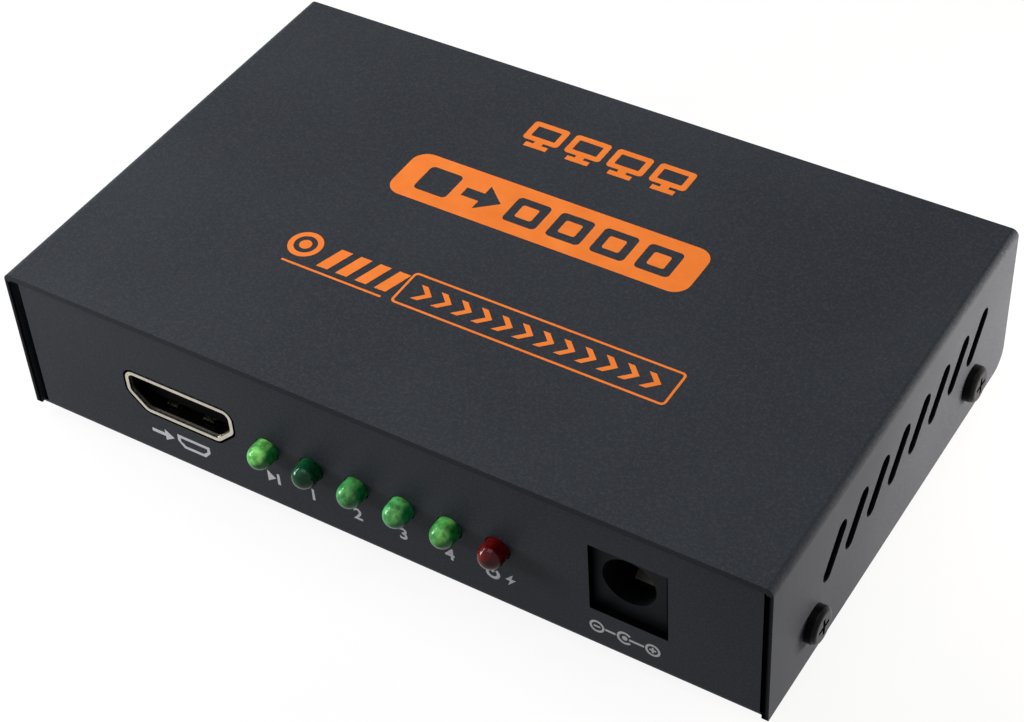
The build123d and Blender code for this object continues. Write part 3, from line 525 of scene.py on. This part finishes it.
# Cover screws: pan heads with a cross recess, in steel with black oxide and oil.
# The eye sees a deep black with small sharp glints on the rim of the head.
black_oxide = moulded("black_oxide_steel", "#070708", "#0D0D0E", 0.1 * mm, 0.003 * mm, 0.3, 0.08)
dress(black_oxide, "cover_screws")

# Print on the top: orange ink, screen-printed on the cured coat. The motifs are
# plain signs: screens in a row, one square that leads to four, a row of arrow heads.
ink_height = 0.03 * mm
thread_width = 0.18 * mm
patch_width = 3 * mm
cover_top = Matrix.Translation((0, 0, cover_roof))


def screen_ink(name, dark, light, shine):
    """Opaque satin ink, a little thinner where the threads of the screen stood."""
    material, place = empty_material(name)
    thread = add(material, "ShaderNodeTexNoise", {"Vector": place, "Scale": 1 / thread_width})
    thin = add(material, "ShaderNodeTexNoise", {"Vector": place, "Scale": 1 / patch_width})
    both = {0: thin, 6: linear(dark), 7: linear(light)}
    tone = add(material, "ShaderNodeMix", both, 2, data_type="RGBA")
    worn = add(material, "ShaderNodeMapRange", {"Value": thread, "From Min": 0.4, "To Max": 0.4})
    tone = add(material, "ShaderNodeMix", {0: worn, 6: tone, 7: linear(dark)}, 2, data_type="RGBA")
    spread = {"Value": thread, "To Min": 0.4, "To Max": 0.56}
    settings = {
        "Base Color": tone,
        "Roughness": add(material, "ShaderNodeMapRange", spread),
        "Specular IOR Level": shine,
        "Normal": add(material, "ShaderNodeBump", {"Height": thread, "Distance": 0.006 * mm}),
    }
    return finished(material, add(material, "ShaderNodeBsdfPrincipled", settings))


orange = screen_ink("orange_screen_ink", "#E57326", "#F98A3C", 0.12)


def laid(name, drawing, place, material):
    """Turns a flat drawing into a thin mesh on its surface, as a piece that rides on the box."""
    source = bpy.data.objects.new(name + "_drawing", drawing)
    mesh = bpy.data.meshes.new_from_object(source)
    bpy.data.objects.remove(source)
    mesh.name = name
    mesh.transform(place)
    mesh.materials.clear()
    mesh.materials.append(material)
    piece = bpy.data.objects.new(name, mesh)
    bpy.context.scene.collection.objects.link(piece)
    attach(piece, "root")


def printed(name, outlines, place, material):
    """Layer of ink: outlines in millimetres, open where one lies inside another."""
    drawing = bpy.data.curves.new(name, "CURVE")
    drawing.dimensions = "2D"
    drawing.fill_mode = "BOTH"
    drawing.extrude = ink_height / 2
    for outline in outlines:
        line = drawing.splines.new("POLY")
        line.points.add(len(outline) - 1)
        for point, (x, y) in zip(line.points, outline):
            point.co = (x * mm, y * mm, 0, 1)
        line.use_cyclic_u = True
    laid(name, drawing, place, material)


def arc(centre, radius, first, last, steps=8):
    """Points along an arc, from one angle to another in degrees."""
    angles = [math.radians(first + (last - first) * n / steps) for n in range(steps + 1)]
    return [(centre[0] + radius * math.cos(a), centre[1] + radius * math.sin(a)) for a in angles]


def circle(centre, radius):
    """Closed round outline."""
    return arc(centre, radius, 0, 360, 40)[:-1]


def plate(centre, width, height, corner):
    """Rectangle with round corners."""
    x, y = width / 2 - corner, height / 2 - corner
    points = []
    for turn, (side, end) in enumerate(((1, 1), (-1, 1), (-1, -1), (1, -1))):
        middle = (centre[0] + side * x, centre[1] + end * y)
        points += arc(middle, corner, 90 * turn, 90 * turn + 90)
    return points


# Four screens in a row, each on a small foot.
screen_width = 4.8
screen_height = 3.5
screen_frame = 0.8
screen_pitch = 5.65
screen_row = (1.45, 20.2)
neck_width = 1.1
neck_depth = 0.45
foot_width = 3.0
foot_depth = 0.75
screen_count = 4
screen_corner = 0.5
glass_corner = 0.15


def screen(x, y):
    """Frame, and under it a neck and a foot."""
    outer = plate((x, y), screen_width, screen_height, screen_corner)
    glass = (screen_width - 2 * screen_frame, screen_height - 2 * screen_frame)
    inner = plate((x, y), *glass, glass_corner)
    rim = y - screen_height / 2
    sole = rim - neck_depth
    stand = [
        (x - neck_width / 2, rim),
        (x - neck_width / 2, sole),
        (x - foot_width / 2, sole),
        (x - foot_width / 2, sole - foot_depth),
        (x + foot_width / 2, sole - foot_depth),
        (x + foot_width / 2, sole),
        (x + neck_width / 2, sole),
        (x + neck_width / 2, rim),
    ]
    return [outer, inner, stand]


screens = []
for place in range(screen_count):
    x = screen_row[0] + (place - (screen_count - 1) / 2) * screen_pitch
    screens += screen(x, screen_row[1])
printed("top_print_screens", screens, cover_top, orange)

# Rounded bar with signs left open in it: a square, an arrow and four frames.
bar_middle = (1.0, 6.7)
bar_size = (39.2, 8.0)
bar_corner = 2.0
sign_size = 4.4
sign_gap = 1.3
sign_stroke = 1.1
sign_count = 5
sign_corner = 0.6
opening_corner = 0.3
arrow_length = 5.0
shaft_width = 1.5
head_length = 2.6


def arrow(x, y, length, height, shaft, head):
    """Arrow that points right, from its tail at x."""
    neck = x + length - head
    return [
        (x, y - shaft / 2),
        (neck, y - shaft / 2),
        (neck, y - height / 2),
        (x + length, y),
        (neck, y + height / 2),
        (neck, y + shaft / 2),
        (x, y + shaft / 2),
    ]


bar = [plate(bar_middle, *bar_size, bar_corner)]
row_length = sign_count * sign_size + arrow_length + sign_count * sign_gap
sign_x = bar_middle[0] - row_length / 2
bar.append(plate((sign_x + sign_size / 2, bar_middle[1]), sign_size, sign_size, sign_corner))
arrow_x = sign_x + sign_size + sign_gap
bar.append(arrow(arrow_x, bar_middle[1], arrow_length, sign_size, shaft_width, head_length))
inner_size = sign_size - 2 * sign_stroke
for place in range(sign_count - 1):
    frame_x = arrow_x + arrow_length + sign_gap + place * (sign_size + sign_gap)
    middle = (frame_x + sign_size / 2, bar_middle[1])
    bar.append(plate(middle, sign_size, sign_size, sign_corner))
    bar.append(plate(middle, inner_size, inner_size, opening_corner))
printed("top_print_bar", bar, cover_top, orange)

# Ring with a dot, slanted strokes, a line under them, and a thin frame round a
# row of arrow heads.
ring_middle = (-20.8, -9.7)
ring_radii = (2.1, 1.4, 0.75)
ring = [circle(ring_middle, radius) for radius in ring_radii]
stroke_foot = (-17.7, -12.1)
stroke_width = 1.5
stroke_height = 3.6
stroke_lean = 1.1
stroke_pitch = 2.6
stroke_count = 4
strokes = []
for place in range(stroke_count):
    x = stroke_foot[0] + place * stroke_pitch
    strokes.append([
        (x, stroke_foot[1]),
        (x + stroke_width, stroke_foot[1]),
        (x + stroke_width + stroke_lean, stroke_foot[1] + stroke_height),
        (x + stroke_lean, stroke_foot[1] + stroke_height),
    ])
printed("top_print_ring", ring + strokes, cover_top, orange)

line_width = 0.3
frame_middle = (9.9, -10.4)
frame_size = (34.2, 5.4)
frame_inner = (frame_size[0] - 2 * line_width, frame_size[1] - 2 * line_width)
frame_corner = 0.6
frame_inner_corner = 0.35
line_middle = (-15.1, -13.0)
line_size = (13.4, line_width)
thin_frame = [
    plate(frame_middle, *frame_size, frame_corner),
    plate(frame_middle, *frame_inner, frame_inner_corner),
]
underline = plate(line_middle, *line_size, line_width / 3)
head_count = 12
head_pitch = 2.6
head_height = 2.4
head_stroke = 0.85
head_reach = 1.2
heads = []
for place in range(head_count):
    x = frame_middle[0] + (place - (head_count - 1) / 2) * head_pitch
    x -= (head_stroke + head_reach) / 2
    y = frame_middle[1]
    heads.append([
        (x, y - head_height / 2),
        (x + head_stroke, y - head_height / 2),
        (x + head_stroke + head_reach, y),
        (x + head_stroke, y + head_height / 2),
        (x, y + head_height / 2),
        (x + head_reach, y),
    ])
printed("top_print_frame", thin_frame + [underline] + heads, cover_top, orange)

# Print on the front and back panels: pale grey ink. Signs stand by the sockets
# and the inlet, and plain numbers under the lamps and by the outputs.
grey = screen_ink("pale_grey_screen_ink", "#BEC0C2", "#D2D4D6", 0.2)
upright = Matrix.Rotation(math.radians(90), 4, "X")
about_turn = Matrix.Rotation(math.radians(180), 4, "Z")
on_front = Matrix.Translation((0, -back_face, 0)) @ upright
on_back = Matrix.Translation((0, back_face, 0)) @ about_turn @ upright
number_height = 1.7
number_foot = 5.05
number_shift = -0.35
number_weight = 0.05
digit_share = 0.7


def number(name, digit, x, z, place):
    """One digit of plain type, centred at x, its foot at z."""
    drawing = bpy.data.curves.new(name, "FONT")
    drawing.body = digit
    drawing.align_x = "CENTER"
    drawing.size = number_height * mm / digit_share
    drawing.offset = number_weight * mm
    drawing.extrude = ink_height / 2
    there = place @ Matrix.Translation((x * mm, z * mm, 0))
    laid(name, drawing, there, grey)


def middle_x(node):
    """Middle of a piece across the front, in millimetres."""
    low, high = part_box(node)
    return (low.x + high.x) / 2 / mm


for digit in "1234":
    x = middle_x(f"output_{digit}_lamp_lens") + number_shift
    number(f"front_print_number_{digit}", digit, x, number_foot, on_front)

# Sign of a socket: its outline, with an arrow that runs into it or comes out.
outline_stroke = 0.42
socket_width = 4.6
socket_height = 1.9
socket_slant = 0.8
port_arrow = 3.2
port_arrow_parts = (1.7, 0.5, 1.3)
port_gap = 0.5
input_sign_shift = -0.8
input_sign_z = 5.2


def socket_sign(x, z):
    """Outline of a socket's mouth, and the smaller one inside it."""
    outlines = []
    for inset in (0.0, outline_stroke):
        side, rise = socket_width / 2 - inset, socket_height / 2 - inset
        floor = side - socket_slant + inset / 3
        outlines.append([
            (x - side, z + rise),
            (x + side, z + rise),
            (x + side, z),
            (x + floor, z - rise),
            (x - floor, z - rise),
            (x - side, z),
        ])
    return outlines


def port_sign(x, z):
    """Arrow on the left that points at a socket on the right."""
    left = x - (port_arrow + port_gap + socket_width) / 2
    pointer = arrow(left, z, port_arrow, *port_arrow_parts)
    return [pointer] + socket_sign(left + port_arrow + port_gap + socket_width / 2, z)


input_x = middle_x("input_socket_shell")
input_sign = port_sign(input_x + input_sign_shift, input_sign_z)
printed("front_print_input", input_sign, on_front, grey)

# Sign under the input's lamp: an arrow head that points at an upright bar.
mark_x = middle_x("input_lamp_lens") + 0.2
mark_z = number_foot + number_height / 2
mark_tail = mark_x - 0.8
mark_half = 0.85
bar_corner_radius = 0.1
input_mark = [
    [(mark_tail, mark_z - mark_half), (mark_x + 0.35, mark_z), (mark_tail, mark_z + mark_half)],
    plate((mark_x + 0.7, mark_z), 0.38, number_height, bar_corner_radius),
]
printed("front_print_lamp", input_mark, on_front, grey)

# Signs for power: a ring with a bar, and a bolt beside it.
power_x = middle_x("power_lamp_lens") - 0.9
bolt_x = power_x + 2.2
ring_centre = (power_x, mark_z - 0.05)
ring_opening = (130, 410)
arc_steps = 24
ring_part = arc(ring_centre, 0.9, *ring_opening, arc_steps)
ring_part += arc(ring_centre, 0.5, *reversed(ring_opening), arc_steps)
bolt_shape = [(0.35, 0.95), (-0.65, -0.15), (-0.1, -0.15), (-0.35, -0.95), (0.65, 0.15), (0.1, 0.15)]
bolt = [(bolt_x + x, mark_z + y) for x, y in bolt_shape]
power_sign = [ring_part, plate((power_x, mark_z + 0.6), 0.4, 1.0, bar_corner_radius), bolt]
printed("front_print_power", power_sign, on_front, grey)

# Sign of a direct-current inlet whose pin is positive: a minus in a ring, the
# cut ring of the sleeve round the dot of the pin, and a plus in a ring.
inlet_x = middle_x("power_jack_housing") - 0.1
inlet_z = 4.5
pole_reach = 3.3
pole_radius = 0.9
pole_stroke = 0.28
plus_half = 0.28
plus_part = (0.24, 0.26)
minus_size = (0.8, 0.26)
sleeve_radius = 0.95
sleeve_bore = 0.65
sleeve_opening = (40, 320)
dot_radius = 0.33
link_height = 0.3
line_corner = 0.05
supply_sign = []
for side in (-1, 1):
    pole = (inlet_x + side * pole_reach, inlet_z)
    supply_sign += [circle(pole, pole_radius), circle(pole, pole_radius - pole_stroke)]
    supply_sign.append(plate(pole, *minus_size, line_corner))
sleeve = arc((inlet_x, inlet_z), sleeve_radius, *sleeve_opening, arc_steps)
sleeve += arc((inlet_x, inlet_z), sleeve_bore, *reversed(sleeve_opening), arc_steps)
supply_sign += [
    plate((inlet_x + pole_reach, inlet_z + plus_half), *plus_part, line_corner),
    plate((inlet_x + pole_reach, inlet_z - plus_half), *plus_part, line_corner),
    sleeve,
    circle((inlet_x, inlet_z), dot_radius),
    plate((inlet_x - 1.7, inlet_z), 1.2, link_height, line_corner),
    plate((inlet_x + 1.4, inlet_z), 1.8, link_height, line_corner),
]
printed("front_print_supply", supply_sign, on_front, grey)

# Back panel: a plain number and a small arrow under each output.
back_number_shift = -2.0
back_number_foot = 3.7
back_arrow_shift = -0.4
back_arrow_z = 4.55
for digit in "1234":
    x = -middle_x(f"output_{digit}_socket_shell")
    number(f"back_print_number_{digit}", digit, x + back_number_shift, back_number_foot, on_back)
    sign = [arrow(x + back_arrow_shift, back_arrow_z, port_arrow, *port_arrow_parts)]
    printed(f"back_print_arrow_{digit}", sign, on_back, grey)

# Floor: a sweep of pale paper that the object stands on. What the camera, metal
# and glass see of it is nearly white, and the object's soft shadow stays.
floor_half = 2.0
white_share = 0.9
corners = [(-1, -1), (1, -1), (1, 1), (-1, 1)]
floor_mesh = bpy.data.meshes.new("floor")
floor_mesh.from_pydata([(x * floor_half, y * floor_half, 0) for x, y in corners], [], [(0, 1, 2, 3)])
floor = bpy.data.objects.new("floor", floor_mesh)
bpy.context.scene.collection.objects.link(floor)


def seen(material):
    """One for rays from the camera, off metal and through glass, and zero for the rest."""
    camera_ray = add(material, "ShaderNodeLightPath", output="Is Camera Ray")
    glossy_ray = add(material, "ShaderNodeLightPath", output="Is Glossy Ray")
    clear_ray = add(material, "ShaderNodeLightPath", output="Is Transmission Ray")
    either = add(material, "ShaderNodeMath", {0: camera_ray, 1: glossy_ray}, operation="MAXIMUM")
    return add(material, "ShaderNodeMath", {0: either, 1: clear_ray}, operation="MAXIMUM")


paper, place = empty_material("white_paper")
direct = seen(paper)
share = add(paper, "ShaderNodeMath", {0: direct, 1: white_share}, operation="MULTIPLY")
both = {0: direct, 6: linear("#8A8A8A"), 7: linear("#F4F4F4")}
matt = add(paper, "ShaderNodeBsdfDiffuse", {0: add(paper, "ShaderNodeMix", both, 2, data_type="RGBA")})
glow = add(paper, "ShaderNodeEmission", {"Color": linear("#FFFFFF"), "Strength": 1.0})
surface = add(paper, "ShaderNodeMixShader", {0: share, 1: matt, 2: glow})
floor_mesh.materials.append(finished(paper, surface))

# Studio: a dim white room, a low strip of light on the right, a large soft box
# overhead, a long one on the left, and a small one low in front on the left.
room_light = 0.1
room = bpy.data.worlds.new("room")
room.use_nodes = True
room.node_tree.nodes.clear()
dim = add(room, "ShaderNodeBackground", {"Color": linear("#FFFFFF"), "Strength": room_light})
white = add(room, "ShaderNodeBackground", {"Color": linear("#FFFFFF"), "Strength": 1.0})
backdrop = add(room, "ShaderNodeMixShader", {0: seen(room), 1: dim, 2: white})
add(room, "ShaderNodeOutputWorld", {"Surface": backdrop})
bpy.context.scene.world = room

# Each lamp's place, its size, its turn in degrees, its watts and its colour.
middle = (cad_box[0] + cad_box[1]) / 2
lamps = {
    "low_strip": ((0.105, 0.055, 0.008), (0.05, 0.012), 0, 0.38, "#FFF1E2"),
    "overhead": ((-0.05, 0.0, 0.75), (0.5, 0.5), 0, 2.15, "#FFFFFF"),
    "left_strip": ((-0.47, -0.02, 0.37), (0.5, 0.03), 140, 3.0, "#FFFFFF"),
    "front_fill": ((-0.16, -0.085, 0.04), (0.05, 0.05), 0, 0.24, "#FFFFFF"),
}
for name, (place, size, turn, watts, colour) in lamps.items():
    light = bpy.data.lights.new(name, "AREA")
    light.shape = "RECTANGLE"
    light.size, light.size_y = size
    light.energy = watts
    light.color = linear(colour)[:3]
    lamp = bpy.data.objects.new(name, light)
    lamp.location = place
    lamp.rotation_mode = "QUATERNION"
    facing = (middle - Vector(place)).to_track_quat("-Z", "Y")
    lamp.rotation_quaternion = facing @ Matrix.Rotation(math.radians(turn), 3, "Z").to_quaternion()
    lamp.visible_camera = False
    lamp.visible_glossy = name != "low_strip"
    bpy.context.scene.collection.objects.link(lamp)

# Camera: where the photograph was taken from, above and to the right.
aim = Vector((3.27 * mm, -5.46 * mm, 10.75 * mm))
distance = 255.6 * mm
azimuth = math.radians(34.24)
elevation = math.radians(43.52)
roll = math.radians(-3.93)
outward = Vector((
    math.sin(azimuth) * math.cos(elevation),
    -math.cos(azimuth) * math.cos(elevation),
    math.sin(elevation),
))
view = bpy.data.cameras.new("camera")
view.sensor_width = 36.0
view.lens = 79.7
view.clip_start = 1 * mm
camera = bpy.data.objects.new("camera", view)
camera.location = aim + distance * outward
level = (-outward).to_track_quat("-Z", "Y")
camera.rotation_mode = "QUATERNION"
camera.rotation_quaternion = level @ Matrix.Rotation(roll, 3, "Z").to_quaternion()
bpy.context.scene.collection.objects.link(camera)
bpy.context.scene.camera = camera
bpy.context.scene.view_settings.view_transform = "Standard"
